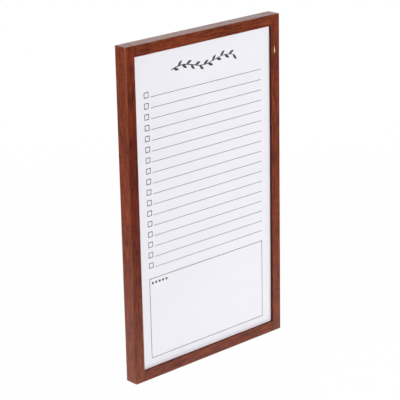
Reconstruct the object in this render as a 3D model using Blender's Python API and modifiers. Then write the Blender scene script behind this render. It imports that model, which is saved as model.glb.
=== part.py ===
"""Framed magnetic dry-erase board: a coated steel sheet in a hardwood box frame.

Metres, +Z up. The board hangs upright, its writing side faces -Y and the wall is the plane Y = 0.
The origin is the middle of the hanger's flat back, which bears on the wall.
"""

import math

import bmesh
import bpy
from mathutils import Matrix, Vector

# Overall frame
BOARD_WIDTH = 0.360
BOARD_HEIGHT = 0.610
RAIL_FACE = 0.020
RAIL_DEPTH = 0.027
STAND_OFF = 0.003

# Frame section: a front lip holds the panel, and the rebate behind it is open to the back.
# The stiles run the full height and the rails are butted between them.
LIP_DEPTH = 0.0054
LIP_COVER = 0.006
ARRIS_RADIUS = 0.0010
ARRIS_STEPS = 4

# Panel: the printed steel sheet and the hardboard behind it
SHEET_THICKNESS = 0.0006
BACKING_THICKNESS = 0.003
PANEL_CLEARANCE = 0.001

# Pieces that touch on the real board are this far apart
FACE_GAP = 0.0003

# Corner nails: corrugated steel strips driven across each joint from the back
CORNER_NAIL_LENGTH = 0.013
CORNER_NAIL_FOLDS = 5
CORNER_NAIL_SWAY = 0.0006
CORNER_NAIL_THICKNESS = 0.0006
CORNER_NAIL_DEPTH = 0.010
CORNER_NAIL_SINK = 0.0005

# Glazing points: thin blades driven into the rebate's wall behind the hardboard
POINT_THICKNESS = 0.0005
POINT_WIDTH = 0.006
POINT_BITE = 0.006
POINT_REACH = 0.009
POINT_TIP = 0.003
POINT_CLIP = 0.0012
STILE_POINT_SPREAD = 0.180

# Hanger: a folded strip with a toothed lower edge, nailed to the top rail
HANGER_LENGTH = 0.046
HANGER_RAISED = 0.026
HANGER_RAMP = 0.003
HANGER_HEIGHT = 0.009
HANGER_THICKNESS = 0.0008
TOOTH_PITCH = 0.003
TOOTH_DEPTH = 0.0018

# Hanger nails
NAIL_SPACING = 0.038
NAIL_SHANK_RADIUS = 0.0006
NAIL_HEAD_RADIUS = 0.0019
NAIL_HEAD_HEIGHT = 0.0009
NAIL_LENGTH = 0.012
NAIL_POINT = 0.0015
NAIL_SIDES = 16

# Bumpers at the lower corners
BUMPER_RADIUS = 0.005
BUMPER_EDGE = 0.0008
BUMPER_DROP = 0.035
BUMPER_SIDES = 32

# Print on the sheet: a task list, a box for notes and a sprig over them
INK_THICKNESS = 0.0002
LINE_STROKE = 0.00095
BORDER_STROKE = 0.0012
CHECK_BOX_STROKE = 0.0014
PRINT_MARGIN = 0.022
LIST_DROP = 0.076
LINE_COUNT = 17
LIST_TO_NOTES = 0.0195
NOTES_HEIGHT = 0.151
NOTES_MARGIN = 0.0163
CHECK_BOX = 0.0104
CHECK_BOX_GAP = 0.0043

# Sprig: a wavy stem with leaves on alternate sides
SPRIG_LENGTH = 0.150
SPRIG_RISE = 0.0045
SPRIG_WAVES = 1.5
STEM_STROKE = 0.0018
STEM_STEPS = 40
LEAF_COUNT = 15
LEAF_LENGTH = 0.0135
LEAF_WIDTH = 0.0050
LEAF_ANGLE = 0.65
LEAF_STEPS = 8

# Gouge in the right stile's face, down to bare wood
GOUGE_LENGTH = 0.015
GOUGE_WIDTH = 0.0036
GOUGE_DEPTH = 0.0007
GOUGE_INSET = 0.0120
GOUGE_DROP = 0.0632
GOUGE_SIDES = 12

# Places that follow from the sizes above
LAND = RAIL_FACE - LIP_COVER
RAIL_LENGTH = BOARD_WIDTH - 2 * (RAIL_FACE + FACE_GAP)
TOP = LAND / 2
BOTTOM = TOP - BOARD_HEIGHT
MIDDLE = (TOP + BOTTOM) / 2
HALF_WIDTH = BOARD_WIDTH / 2
FRAME_BACK = -STAND_OFF
FRAME_FRONT = FRAME_BACK - RAIL_DEPTH
SHEET_FRONT = FRAME_FRONT + LIP_DEPTH + FACE_GAP
BACKING_FRONT = SHEET_FRONT + SHEET_THICKNESS + FACE_GAP
POINT_FRONT = BACKING_FRONT + BACKING_THICKNESS + FACE_GAP
PANEL_WIDTH = BOARD_WIDTH - 2 * (LAND + PANEL_CLEARANCE)
PANEL_HEIGHT = BOARD_HEIGHT - 2 * (LAND + PANEL_CLEARANCE)
PRINT_LEFT = RAIL_FACE + PRINT_MARGIN - HALF_WIDTH
PRINT_RIGHT = -PRINT_LEFT
NOTES_BOTTOM = BOTTOM + RAIL_FACE + NOTES_MARGIN
NOTES_TOP = NOTES_BOTTOM + NOTES_HEIGHT
FIRST_LINE = TOP - RAIL_FACE - LIST_DROP
LAST_LINE = NOTES_TOP + LIST_TO_NOTES
LINE_PITCH = (FIRST_LINE - LAST_LINE) / (LINE_COUNT - 1)
INK_MIDDLE = SHEET_FRONT - FACE_GAP - INK_THICKNESS / 2

# Each stile and rail: the middle of its outer edge (x, z), its turn about Y in quarter turns, its length
RAILS = {
    "left_stile": ((-HALF_WIDTH, MIDDLE), 0, BOARD_HEIGHT),
    "top_rail": ((0.0, TOP), 1, RAIL_LENGTH),
    "right_stile": ((HALF_WIDTH, MIDDLE), 2, BOARD_HEIGHT),
    "bottom_rail": ((0.0, BOTTOM), 3, RAIL_LENGTH),
}

# Each corner: the middle of the joint's back (x, z), and the stile and rail that meet there
JOINT = HALF_WIDTH - RAIL_FACE - FACE_GAP / 2
CORNERS = {
    "bottom_left": ((-JOINT, BOTTOM + LAND / 2), ("left_stile", "bottom_rail")),
    "top_left": ((-JOINT, TOP - LAND / 2), ("left_stile", "top_rail")),
    "top_right": ((JOINT, TOP - LAND / 2), ("right_stile", "top_rail")),
    "bottom_right": ((JOINT, BOTTOM + LAND / 2), ("right_stile", "bottom_rail")),
}

# Each glazing point: its rail and its place along that rail
GLAZING_POINTS = {
    "glazing_point_left_upper": ("left_stile", STILE_POINT_SPREAD),
    "glazing_point_left_lower": ("left_stile", -STILE_POINT_SPREAD),
    "glazing_point_right_upper": ("right_stile", -STILE_POINT_SPREAD),
    "glazing_point_right_lower": ("right_stile", STILE_POINT_SPREAD),
    "glazing_point_top": ("top_rail", 0.0),
    "glazing_point_bottom": ("bottom_rail", 0.0),
}


def linear(hex_colour):
    """An sRGB hex colour as linear red, green, blue and alpha."""
    channels = [int(hex_colour[i:i + 2], 16) / 255 for i in (1, 3, 5)]
    return [c / 12.92 if c <= 0.04045 else ((c + 0.055) / 1.055) ** 2.4 for c in channels] + [1.0]


def make_material(name, hex_colour, roughness, metallic=0.0):
    material = bpy.data.materials.new(name)
    material.use_nodes = True
    shader = material.node_tree.nodes["Principled BSDF"]
    shader.inputs["Base Color"].default_value = linear(hex_colour)
    shader.inputs["Roughness"].default_value = roughness
    shader.inputs["Metallic"].default_value = metallic
    material.diffuse_color = linear(hex_colour)
    return material


def quarter_turns(count):
    """A turn about Y that takes +X to -Z, then to -X, then to +Z."""
    return Matrix.Rotation(count * math.pi / 2, 4, "Y")


def add_object(name, mesh, collection, material=None, place=(0.0, 0.0, 0.0), turn=0):
    """One object at its place, turned about Y by quarter turns."""
    item = bpy.data.objects.new(name, mesh)
    item.matrix_world = Matrix.Translation(place) @ quarter_turns(turn)
    collection.objects.link(item)
    if material:
        mesh.materials.append(material)
    return item


def add_cutter(name, mesh, place=(0.0, 0.0, 0.0), turn=0):
    cutter = add_object(name, mesh, cutters, place=place, turn=turn)
    cutter.display_type = "WIRE"
    cutter.hide_render = True
    return cutter


def cut(item, cutter):
    """Cut the cutter's shape out of the item."""
    boolean = item.modifiers.new(cutter.name, "BOOLEAN")
    boolean.operation = "DIFFERENCE"
    boolean.solver = "EXACT"
    boolean.object = cutter


def mesh_from_curve(curve):
    """A curve's solid as a mesh, with its caps welded on."""
    holder = bpy.data.objects.new(curve.name, curve)
    bpy.context.scene.collection.objects.link(holder)
    bpy.context.view_layer.update()
    depsgraph = bpy.context.evaluated_depsgraph_get()
    mesh = bpy.data.meshes.new_from_object(holder.evaluated_get(depsgraph))
    bpy.data.objects.remove(holder)
    shape = bmesh.new()
    shape.from_mesh(mesh)
    bmesh.ops.remove_doubles(shape, verts=shape.verts, dist=1e-7)
    bmesh.ops.recalc_face_normals(shape, faces=shape.faces)
    shape.to_mesh(mesh)
    shape.free()
    return mesh


def outline_mesh(name, outlines, length):
    """Flat outlines in XY, the later ones holes in the first, drawn out along Z about Z = 0."""
    curve = bpy.data.curves.new(name, "CURVE")
    curve.dimensions = "2D"
    curve.fill_mode = "BOTH"
    curve.extrude = length / 2
    for outline in outlines:
        spline = curve.splines.new("POLY")
        spline.points.add(len(outline) - 1)
        for point, (x, y) in zip(spline.points, outline):
            point.co = (x, y, 0.0, 1.0)
        spline.use_cyclic_u = True
    return mesh_from_curve(curve)


def plate_mesh(name, outlines, thickness):
    """Outlines in (x, z) with their thickness along Y, about Y = 0."""
    mesh = outline_mesh(name, outlines, thickness)
    mesh.transform(Matrix.Rotation(math.pi / 2, 4, "X"))
    return mesh


def block_mesh(name, size_x, size_y, size_z):
    """A box about the origin."""
    shape = bmesh.new()
    bmesh.ops.create_cube(shape, size=1.0)
    bmesh.ops.scale(shape, vec=(size_x, size_y, size_z), verts=shape.verts)
    mesh = bpy.data.meshes.new(name)
    shape.to_mesh(mesh)
    shape.free()
    return mesh


def rod_mesh(name, radius, length, sides):
    """A straight rod along Y, about the origin."""
    shape = bmesh.new()
    bmesh.ops.create_cone(
        shape, cap_ends=True, segments=sides, radius1=radius, radius2=radius, depth=length
    )
    mesh = bpy.data.meshes.new(name)
    shape.to_mesh(mesh)
    shape.free()
    mesh.transform(Matrix.Rotation(math.pi / 2, 4, "X"))
    return mesh


def rectangle(left, right, low, high):
    return [(left, low), (right, low), (right, high), (left, high)]


def eased_corner(corner, towards_last, towards_next):
    """A right-angled corner rounded by the arris radius, as points along a quarter circle."""
    corner, last, following = Vector(corner), Vector(towards_last), Vector(towards_next)
    centre = corner + ARRIS_RADIUS * (last + following)
    angles = [math.pi / 2 * step / ARRIS_STEPS for step in range(ARRIS_STEPS + 1)]
    return [
        tuple(centre - ARRIS_RADIUS * (math.cos(a) * following + math.sin(a) * last))
        for a in angles
    ]


def frame_section(rebated):
    """X runs inwards from the outer side, Y from the front to the back; a stile is whole at its ends."""
    left, right, front, back = (-1, 0), (1, 0), (0, -1), (0, 1)
    inner_back = [(RAIL_FACE, LIP_DEPTH), (LAND, LIP_DEPTH), (LAND, RAIL_DEPTH)]
    return (
        eased_corner((0, 0), back, right)
        + eased_corner((RAIL_FACE, 0), left, back)
        + (inner_back if rebated else [(RAIL_FACE, RAIL_DEPTH)])
        + eased_corner((0, RAIL_DEPTH), right, front)
    )


def build_rails():
    """Rails with a rebate from end to end, and stiles whose rebate stops where it meets the rails'."""
    rails = {}
    for name, ((x, z), turn, length) in RAILS.items():
        is_stile = name.endswith("stile")
        mesh = outline_mesh(name, [frame_section(not is_stile)], length)
        rails[name] = add_object(name, mesh, board, stained_wood, (x, FRAME_FRONT, z), turn)
        if is_stile:
            inner_edge = quarter_turns(turn) @ Vector((RAIL_FACE, 0.0, 0.0))
            size = (2 * LIP_COVER, 2 * (RAIL_DEPTH - LIP_DEPTH), length - 2 * LAND)
            rebate = block_mesh(name + "_rebate", *size)
            place = (x + inner_edge.x, FRAME_BACK, z)
            cut(rails[name], add_cutter(name + "_rebate", rebate, place))
    return rails


def build_panel():
    """The coated steel sheet against the lips, and the hardboard that stiffens it."""
    for name, front, thickness, material in (
        ("writing_sheet", SHEET_FRONT, SHEET_THICKNESS, white_enamel),
        ("backing_board", BACKING_FRONT, BACKING_THICKNESS, hardboard),
    ):
        mesh = block_mesh(name, PANEL_WIDTH, thickness, PANEL_HEIGHT)
        add_object(name, mesh, board, material, (0.0, front + thickness / 2, MIDDLE))


def corner_nail_outline(growth):
    """A zigzag strip along X with its folds to either side by turns, grown all round by a clearance."""
    step = CORNER_NAIL_LENGTH / CORNER_NAIL_FOLDS
    slope = math.atan2(2 * CORNER_NAIL_SWAY, step)
    half = (CORNER_NAIL_THICKNESS / 2 + growth) / math.cos(slope)
    middle = [
        (fold * step - CORNER_NAIL_LENGTH / 2, CORNER_NAIL_SWAY * (-1) ** fold)
        for fold in range(CORNER_NAIL_FOLDS + 1)
    ]
    reach = 1 + 2 * growth / step
    middle[0] = (middle[0][0] - growth, middle[0][1] * reach)
    middle[-1] = (middle[-1][0] + growth, middle[-1][1] * reach)
    return [(x, z - half) for x, z in middle] + [(x, z + half) for x, z in middle[::-1]]


def build_corner_nails(rails):
    """One corrugated nail in a pocket across each joint, sunk a little below the frame's back."""
    nail_back = FRAME_BACK - CORNER_NAIL_SINK
    for corner, ((x, z), meeting) in CORNERS.items():
        name = "corner_nail_" + corner
        mesh = plate_mesh(name, [corner_nail_outline(0.0)], CORNER_NAIL_DEPTH)
        add_object(name, mesh, board, steel, (x, nail_back - CORNER_NAIL_DEPTH / 2, z))
        pocket_front = nail_back - CORNER_NAIL_DEPTH - FACE_GAP
        pocket_depth = 2 * (FRAME_BACK - pocket_front)
        pocket = plate_mesh(name + "_pocket", [corner_nail_outline(FACE_GAP)], pocket_depth)
        cutter = add_cutter(name + "_pocket", pocket, (x, FRAME_BACK, z))
        for rail in meeting:
            cut(rails[rail], cutter)


def point_outline():
    """A blade along X: a pointed end in the wood at -X and a clipped end over the backing at +X."""
    half, clipped = POINT_WIDTH / 2, POINT_WIDTH / 2 - POINT_CLIP
    shoulder = POINT_TIP - POINT_BITE
    return [
        (-POINT_BITE, 0.0),
        (shoulder, -half),
        (POINT_REACH - POINT_CLIP, -half),
        (POINT_REACH, -clipped),
        (POINT_REACH, clipped),
        (POINT_REACH - POINT_CLIP, half),
        (shoulder, half),
    ]


def build_glazing_points(rails):
    """Blades driven into the rebate's wall, each lying on the back of the hardboard."""
    slot_size = (2 * (POINT_BITE + FACE_GAP), POINT_THICKNESS + 2 * FACE_GAP, POINT_WIDTH + 2 * FACE_GAP)
    for name, (rail, along) in GLAZING_POINTS.items():
        (x, z), turn, _ = RAILS[rail]
        offset = quarter_turns(turn) @ Vector((LAND, 0.0, along))
        place = (x + offset.x, POINT_FRONT + POINT_THICKNESS / 2, z + offset.z)
        blade = plate_mesh(name, [point_outline()], POINT_THICKNESS)
        add_object(name, blade, board, steel, place, turn)
        slot = add_cutter(name + "_slot", block_mesh(name + "_slot", *slot_size), place, turn)
        cut(rails[rail], slot)


def hanger_strip_mesh():
    """A strip folded so that its middle stands off the wood, as an open sheet at mid-thickness."""
    middle_y = -HANGER_THICKNESS / 2
    foot_y = FRAME_BACK + FACE_GAP + HANGER_THICKNESS / 2
    raised, end = HANGER_RAISED / 2, HANGER_LENGTH / 2
    path = [
        (-end, foot_y), (-raised - HANGER_RAMP, foot_y), (-raised, middle_y),
        (raised, middle_y), (raised + HANGER_RAMP, foot_y), (end, foot_y),
    ]
    shape = bmesh.new()
    low = [shape.verts.new((x, y, -HANGER_HEIGHT / 2)) for x, y in path]
    edges = [shape.edges.new(pair) for pair in zip(low, low[1:])]
    drawn = bmesh.ops.extrude_edge_only(shape, edges=edges)["geom"]
    high = [item for item in drawn if isinstance(item, bmesh.types.BMVert)]
    bmesh.ops.translate(shape, vec=(0.0, 0.0, HANGER_HEIGHT), verts=high)
    mesh = bpy.data.meshes.new("sawtooth_hanger")
    shape.to_mesh(mesh)
    shape.free()
    return mesh


def tooth_outline():
    """A zigzag along the strip's lower edge, closed below it, that leaves whole teeth only."""
    count = int((HANGER_RAISED - TOOTH_PITCH) / TOOTH_PITCH)
    left = -count * TOOTH_PITCH / 2
    edge = -HANGER_HEIGHT / 2
    zigzag = []
    for tooth in range(count):
        start = left + tooth * TOOTH_PITCH
        zigzag += [(start, edge), (start + TOOTH_PITCH / 2, edge + TOOTH_DEPTH)]
    zigzag.append((-left, edge))
    below = edge - TOOTH_DEPTH
    return zigzag + [(-left, below), (left, below)]


def build_hanger():
    strip = add_object("sawtooth_hanger", hanger_strip_mesh(), board, steel)
    thicken = strip.modifiers.new("Thickness", "SOLIDIFY")
    thicken.thickness = HANGER_THICKNESS
    thicken.offset = 0.0
    thicken.use_even_offset = True
    teeth = plate_mesh("hanger_teeth", [tooth_outline()], 4 * STAND_OFF)
    cut(strip, add_cutter("hanger_teeth", teeth))
    return strip


def turned_object(name, profile, sides, material, place):
    """A profile in (radius, height), top to bottom, turned about an axis that points to +Y."""
    shape = bmesh.new()
    points = [shape.verts.new((radius, 0.0, height)) for radius, height in profile]
    for pair in zip(points, points[1:]):
        shape.edges.new(pair)
    mesh = bpy.data.meshes.new(name)
    shape.to_mesh(mesh)
    shape.free()
    item = add_object(name, mesh, board, material)
    item.matrix_world = Matrix.Translation(place) @ Matrix.Rotation(-math.pi / 2, 4, "X")
    screw = item.modifiers.new("Turn", "SCREW")
    screw.steps = sides
    screw.render_steps = sides
    screw.use_merge_vertices = True
    screw.merge_threshold = 1e-6
    return item


def build_hanger_nails(strip, top_rail):
    """Two nails through the hanger's feet into the top rail's back, each head domed."""
    profile = [
        (0.0, NAIL_HEAD_HEIGHT),
        (0.6 * NAIL_HEAD_RADIUS, 0.85 * NAIL_HEAD_HEIGHT),
        (NAIL_HEAD_RADIUS, 0.35 * NAIL_HEAD_HEIGHT),
        (NAIL_HEAD_RADIUS, 0.0),
        (NAIL_SHANK_RADIUS, 0.0),
        (NAIL_SHANK_RADIUS, NAIL_POINT - NAIL_LENGTH),
        (0.0, -NAIL_LENGTH),
    ]
    head_seat = FRAME_BACK + FACE_GAP + HANGER_THICKNESS + FACE_GAP
    hole_radius = NAIL_SHANK_RADIUS + FACE_GAP
    hole_length = 2 * (FRAME_BACK - head_seat + NAIL_LENGTH + FACE_GAP)
    for side, name in ((-1, "hanger_nail_left"), (1, "hanger_nail_right")):
        x = side * NAIL_SPACING / 2
        turned_object(name, profile, NAIL_SIDES, steel, (x, head_seat, 0.0))
        hole = rod_mesh(name + "_hole", hole_radius, hole_length, NAIL_SIDES)
        cutter = add_cutter(name + "_hole", hole, (x, FRAME_BACK, 0.0))
        cut(top_rail, cutter)
        cut(strip, cutter)


def build_bumpers():
    """Turned rubber pads on the stiles' backs, which keep the lower edge off the wall."""
    height = STAND_OFF - FACE_GAP
    profile = [
        (0.0, height),
        (BUMPER_RADIUS - BUMPER_EDGE, height),
        (BUMPER_RADIUS - 0.3 * BUMPER_EDGE, height - 0.3 * BUMPER_EDGE),
        (BUMPER_RADIUS, height - BUMPER_EDGE),
        (BUMPER_RADIUS, 0.0),
        (0.0, 0.0),
    ]
    for side, name in ((-1, "bumper_left"), (1, "bumper_right")):
        place = (side * (HALF_WIDTH - LAND / 2), FRAME_BACK + FACE_GAP, BOTTOM + BUMPER_DROP)
        turned_object(name, profile, BUMPER_SIDES, rubber, place)


def build_task_list():
    """Ruled lines, each with an open box that stands on it at the left."""
    line_left = PRINT_LEFT + CHECK_BOX + CHECK_BOX_GAP
    line_length = PRINT_RIGHT - line_left
    line = block_mesh("ruled_line", line_length, INK_THICKNESS, LINE_STROKE)
    half, inner = CHECK_BOX / 2, CHECK_BOX / 2 - CHECK_BOX_STROKE
    square = [rectangle(-half, half, -half, half), rectangle(-inner, inner, -inner, inner)]
    box = plate_mesh("check_box", square, INK_THICKNESS)
    line.materials.append(ink)
    box.materials.append(ink)
    for row in range(LINE_COUNT):
        z = FIRST_LINE - row * LINE_PITCH
        number = f"{row + 1:02d}"
        line_middle = (line_left + PRINT_RIGHT) / 2
        add_object("ruled_line_" + number, line, board, place=(line_middle, INK_MIDDLE, z))
        box_z = z - LINE_STROKE / 2 + half
        add_object("check_box_" + number, box, board, place=(PRINT_LEFT + half, INK_MIDDLE, box_z))


def build_notes_border():
    stroke = BORDER_STROKE
    outer = rectangle(PRINT_LEFT, PRINT_RIGHT, NOTES_BOTTOM, NOTES_TOP)
    inner = rectangle(PRINT_LEFT + stroke, PRINT_RIGHT - stroke, NOTES_BOTTOM + stroke, NOTES_TOP - stroke)
    border = plate_mesh("notes_border", [outer, inner], INK_THICKNESS)
    add_object("notes_border", border, board, ink, (0.0, INK_MIDDLE, 0.0))


def stem_point(share):
    """A point on the stem, and its direction there: a sine wave along X."""
    phase = 2 * math.pi * SPRIG_WAVES * share
    slope = 2 * math.pi * SPRIG_WAVES * SPRIG_RISE * math.cos(phase) / SPRIG_LENGTH
    point = Vector((SPRIG_LENGTH * (share - 0.5), SPRIG_RISE * math.sin(phase)))
    return point, Vector((1.0, slope)).normalized()


def stem_outline():
    """The stem as a stroke of even width, up one side and back along the other."""
    above, below = [], []
    for step in range(STEM_STEPS + 1):
        point, direction = stem_point(step / STEM_STEPS)
        across = Vector((-direction.y, direction.x)) * STEM_STROKE / 2
        above.append(tuple(point + across))
        below.append(tuple(point - across))
    return above + below[::-1]


def leaf_outline(share, side):
    """A pointed leaf that springs from the stem: its half-width follows a sine along its length."""
    root, direction = stem_point(share)
    heading = math.atan2(direction.y, direction.x) + side * LEAF_ANGLE
    along = Vector((math.cos(heading), math.sin(heading)))
    across = Vector((-along.y, along.x))
    shares = [step / LEAF_STEPS for step in range(LEAF_STEPS + 1)]
    one = [root + along * s * LEAF_LENGTH + across * math.sin(math.pi * s) * LEAF_WIDTH / 2 for s in shares]
    other = [root + along * s * LEAF_LENGTH - across * math.sin(math.pi * s) * LEAF_WIDTH / 2 for s in shares]
    return [tuple(point) for point in one + other[-2:0:-1]]


def build_sprig():
    """The stem, with each leaf joined to it so that the print is one piece."""
    heading_middle = (TOP - RAIL_FACE + FIRST_LINE) / 2
    place = (0.0, INK_MIDDLE, heading_middle)
    stem = plate_mesh("sprig", [stem_outline()], INK_THICKNESS)
    sprig = add_object("sprig", stem, board, ink, place)
    for leaf in range(LEAF_COUNT):
        share = (leaf + 0.5) / LEAF_COUNT
        side = 1 if leaf % 2 else -1
        name = f"sprig_leaf_{leaf + 1:02d}"
        mesh = plate_mesh(name, [leaf_outline(share, side)], 0.9 * INK_THICKNESS)
        joined = sprig.modifiers.new(name, "BOOLEAN")
        joined.operation = "UNION"
        joined.solver = "EXACT"
        joined.object = add_cutter(name, mesh, place)


def cut_gouge(stile):
    """A long shallow hollow in the stile's face, the shape of a stretched ball sunk to its middle."""
    shape = bmesh.new()
    bmesh.ops.create_uvsphere(shape, u_segments=GOUGE_SIDES, v_segments=GOUGE_SIDES, radius=1.0)
    scale = (GOUGE_WIDTH / 2, GOUGE_DEPTH, GOUGE_LENGTH / 2)
    bmesh.ops.scale(shape, vec=scale, verts=shape.verts)
    mesh = bpy.data.meshes.new("gouge")
    shape.to_mesh(mesh)
    shape.free()
    cut(stile, add_cutter("gouge", mesh, (HALF_WIDTH - GOUGE_INSET, FRAME_FRONT, TOP - GOUGE_DROP)))


def new_collection(name):
    collection = bpy.data.collections.new(name)
    bpy.context.scene.collection.children.link(collection)
    return collection


for leftover in list(bpy.data.objects):
    bpy.data.objects.remove(leftover)

board = new_collection("magnetic_whiteboard")
cutters = new_collection("cutters")

stained_wood = make_material("stained_hardwood", "#733425", 0.42)
white_enamel = make_material("white_enamelled_steel", "#ECEBF1", 0.35)
hardboard = make_material("hardboard", "#8A6A4A", 0.75)
steel = make_material("zinc_plated_steel", "#B9BCC0", 0.35, 1.0)
rubber = make_material("clear_grey_rubber", "#4A4A4C", 0.6)
ink = make_material("screen_ink", "#4C4A50", 0.5)

frame_rails = build_rails()
build_panel()
build_corner_nails(frame_rails)
build_glazing_points(frame_rails)
hanger = build_hanger()
build_hanger_nails(hanger, frame_rails["top_rail"])
build_bumpers()
cut_gouge(frame_rails["right_stile"])
build_task_list()
build_notes_border()
build_sprig()
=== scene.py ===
"""Looks of a framed magnetic dry-erase board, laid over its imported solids.

Metres, +Z up, the writing side faces -Y and the wall is the plane Y = 0. The sections follow the board as
it is put together: frame, sheet, print, back panel, fittings, then the studio and the camera.
"""

import math

import bmesh
import bpy
import numpy as np
from mathutils import Matrix, Vector


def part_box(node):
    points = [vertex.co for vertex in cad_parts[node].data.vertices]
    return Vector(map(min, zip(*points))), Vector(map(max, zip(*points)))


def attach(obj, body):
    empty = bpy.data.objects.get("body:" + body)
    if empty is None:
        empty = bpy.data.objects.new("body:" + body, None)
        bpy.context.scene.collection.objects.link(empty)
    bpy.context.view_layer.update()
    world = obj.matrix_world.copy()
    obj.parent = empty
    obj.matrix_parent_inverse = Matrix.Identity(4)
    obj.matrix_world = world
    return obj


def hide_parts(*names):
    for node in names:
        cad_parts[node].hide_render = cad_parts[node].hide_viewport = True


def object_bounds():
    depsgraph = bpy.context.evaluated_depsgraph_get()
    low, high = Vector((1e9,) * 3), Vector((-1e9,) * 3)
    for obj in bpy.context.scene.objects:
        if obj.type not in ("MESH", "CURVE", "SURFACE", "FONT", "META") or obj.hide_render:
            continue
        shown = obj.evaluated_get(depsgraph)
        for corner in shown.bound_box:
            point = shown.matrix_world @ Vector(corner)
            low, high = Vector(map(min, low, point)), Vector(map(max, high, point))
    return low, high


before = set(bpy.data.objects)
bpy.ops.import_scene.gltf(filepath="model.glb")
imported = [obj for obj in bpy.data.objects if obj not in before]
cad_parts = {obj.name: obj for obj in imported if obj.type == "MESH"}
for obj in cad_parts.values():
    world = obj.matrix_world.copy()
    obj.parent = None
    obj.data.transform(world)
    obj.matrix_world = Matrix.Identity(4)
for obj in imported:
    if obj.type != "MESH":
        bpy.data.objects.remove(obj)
cad_low, cad_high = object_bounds()


# Frame: stiles of full height with the rails butted between them, of one solid hardwood stained red-brown
# under a thin satin lacquer. The rebate behind the lip is bare wood. Glue and corrugated nails hold the
# joints, and the sharp edges have been eased by hand, so the stain is rubbed thin along them; a painted
# highlight is laid along the edges as well. The lip's inner side is darkened with painted shade.

RAIL_FACE = 0.020
RAIL_DEPTH = 0.027
LIP_DEPTH = 0.0054
LAND = 0.014
ARRIS_RADIUS = 0.0010
INNER_ARRIS_RADIUS = 0.0006
ARRIS_STEPS = 8
SIDE_STEPS = 18
FACE_STEPS = 60
LIP_STEPS = 6
REBATE_STEPS = 4
BACK_STEPS = 8
ALONG_STEPS = 61
SHARP_ANGLE = math.radians(35)
WELD_DISTANCE = 1e-7

JOINT_GAP = 0.00005
JOINT_STAIN_WIDTH = 0.0012
JOINT_ROWS = (0.0005, 0.0010, 0.0015, 0.0022, 0.0032)
END_STEPS = 6
END_ARRIS_ROWS = 5
END_RINGS = (0.003, 0.006)
END_GRAIN_SOAK = 0.5

# Edges: worn stain mixed with a painted highlight, its slow wander and its width
WEAR_AND_HIGHLIGHT_WAVELENGTHS = (0.31, 0.113, 0.047)
ARRIS_WEAR_AND_HIGHLIGHT_WIDTH = 0.0011
EASING_DEPTH = 0.00008
KNOCK_SIZE = 0.0028
KNOCK_SHARE = 1.6
# Painted highlight down the left stile's front outer arris from its top
TOP_HIGHLIGHT_WIDTH = 0.0019
TOP_HIGHLIGHT_REACH = 0.130
RUBBED_INSET = 0.0190
RUBBED_SIZE = 0.0022

GOUGE_LENGTH = 0.015
GOUGE_WIDTH = 0.0036
GOUGE_DEPTH = 0.0007
GOUGE_INSET = 0.0120
GOUGE_DROP = 0.0632
GOUGE_SKEW = 0.45
GOUGE_TAPER = 0.45
GOUGE_FADE = 1.25
GOUGE_LEAST_SHARE = 0.3
GOUGE_STEPS = 49
GOUGE_REACH = 0.75 * GOUGE_LENGTH

SOAKED_LIFT = 0.045
SOAKED_REACH = 0.210
GRAIN_SHIFT = 1.7
EDGE_SLACK = 0.0001
RAW_EDGE = 0.0045
RAW_EDGE_SWAY = 0.004
# Painted shade on the lip's inner side: its inset, where it begins and how strong it is
RECESS_SHADE_INSET = 0.0005
RECESS_SHADE_START = 0.00005
RECESS_SHADE_SHARE = 0.6
PORE_SHARE = 0.4
# How much the edges' worn stain and painted highlight lighten the colour
WEAR_AND_HIGHLIGHT_SHARE = 0.45
THIN_LACQUER_DULLNESS = 0.08


def linear(hex_colour):
    """An sRGB hex colour as linear red, green, blue and alpha."""
    shares = [int(hex_colour[i:i + 2], 16) / 255 for i in (1, 3, 5)]
    return [c / 12.92 if c <= 0.04045 else ((c + 0.055) / 1.055) ** 2.4 for c in shares] + [1.0]


def add(tree, kind, sockets=None, **settings):
    """One node with its settings; each socket takes a value, or a link where it is given an output."""
    node = tree.nodes.new(kind)
    for name, value in settings.items():
        setattr(node, name, value)
    for key, value in (sockets or {}).items():
        if isinstance(value, bpy.types.NodeSocket):
            tree.links.new(value, node.inputs[key])
        else:
            node.inputs[key].default_value = value
    return node


def begin_material(name):
    """A node material with its Principled shader."""
    material = bpy.data.materials.new(name)
    material.use_nodes = True
    return material, material.node_tree, material.node_tree.nodes["Principled BSDF"]


def make_piece(name, points, faces, material, attributes=None, smooth=True):
    """A mesh piece from points and faces, with its doubles merged and its faces turned outwards.

    attributes holds values at the points, each label with its kind, its field and its array.
    """
    mesh = bpy.data.meshes.new(name)
    mesh.from_pydata(np.asarray(points, float).reshape(-1, 3).tolist(), [], [list(f) for f in faces])
    for label, (kind, field, values) in (attributes or {}).items():
        data = mesh.attributes.new(label, kind, "POINT").data
        data.foreach_set(field, np.asarray(values, np.float32).ravel())
    shape = bmesh.new()
    shape.from_mesh(mesh)
    bmesh.ops.remove_doubles(shape, verts=shape.verts, dist=WELD_DISTANCE)
    bmesh.ops.recalc_face_normals(shape, faces=shape.faces)
    shape.to_mesh(mesh)
    shape.free()
    if smooth:
        mesh.shade_smooth()
        mesh.set_sharp_from_angle(angle=SHARP_ANGLE)
    mesh.materials.append(material)
    piece = bpy.data.objects.new(name, mesh)
    bpy.context.scene.collection.objects.link(piece)
    return piece


def tube_faces(rings, columns, start=0, capped=True):
    """Quads between rings of points, and a face over each end ring if it is capped.

    Point number = start + ring * columns + column, and the last column is joined to the first.
    """
    ring, column = np.meshgrid(np.arange(rings - 1), np.arange(columns), indexing="ij")
    following = (column + 1) % columns
    corners = [ring * columns + column, ring * columns + following]
    corners += [(ring + 1) * columns + following, (ring + 1) * columns + column]
    faces = (np.stack(corners, -1).reshape(-1, 4) + start).tolist()
    if capped:
        last = start + (rings - 1) * columns
        faces += [range(start, start + columns), range(last, last + columns)]
    return faces


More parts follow.
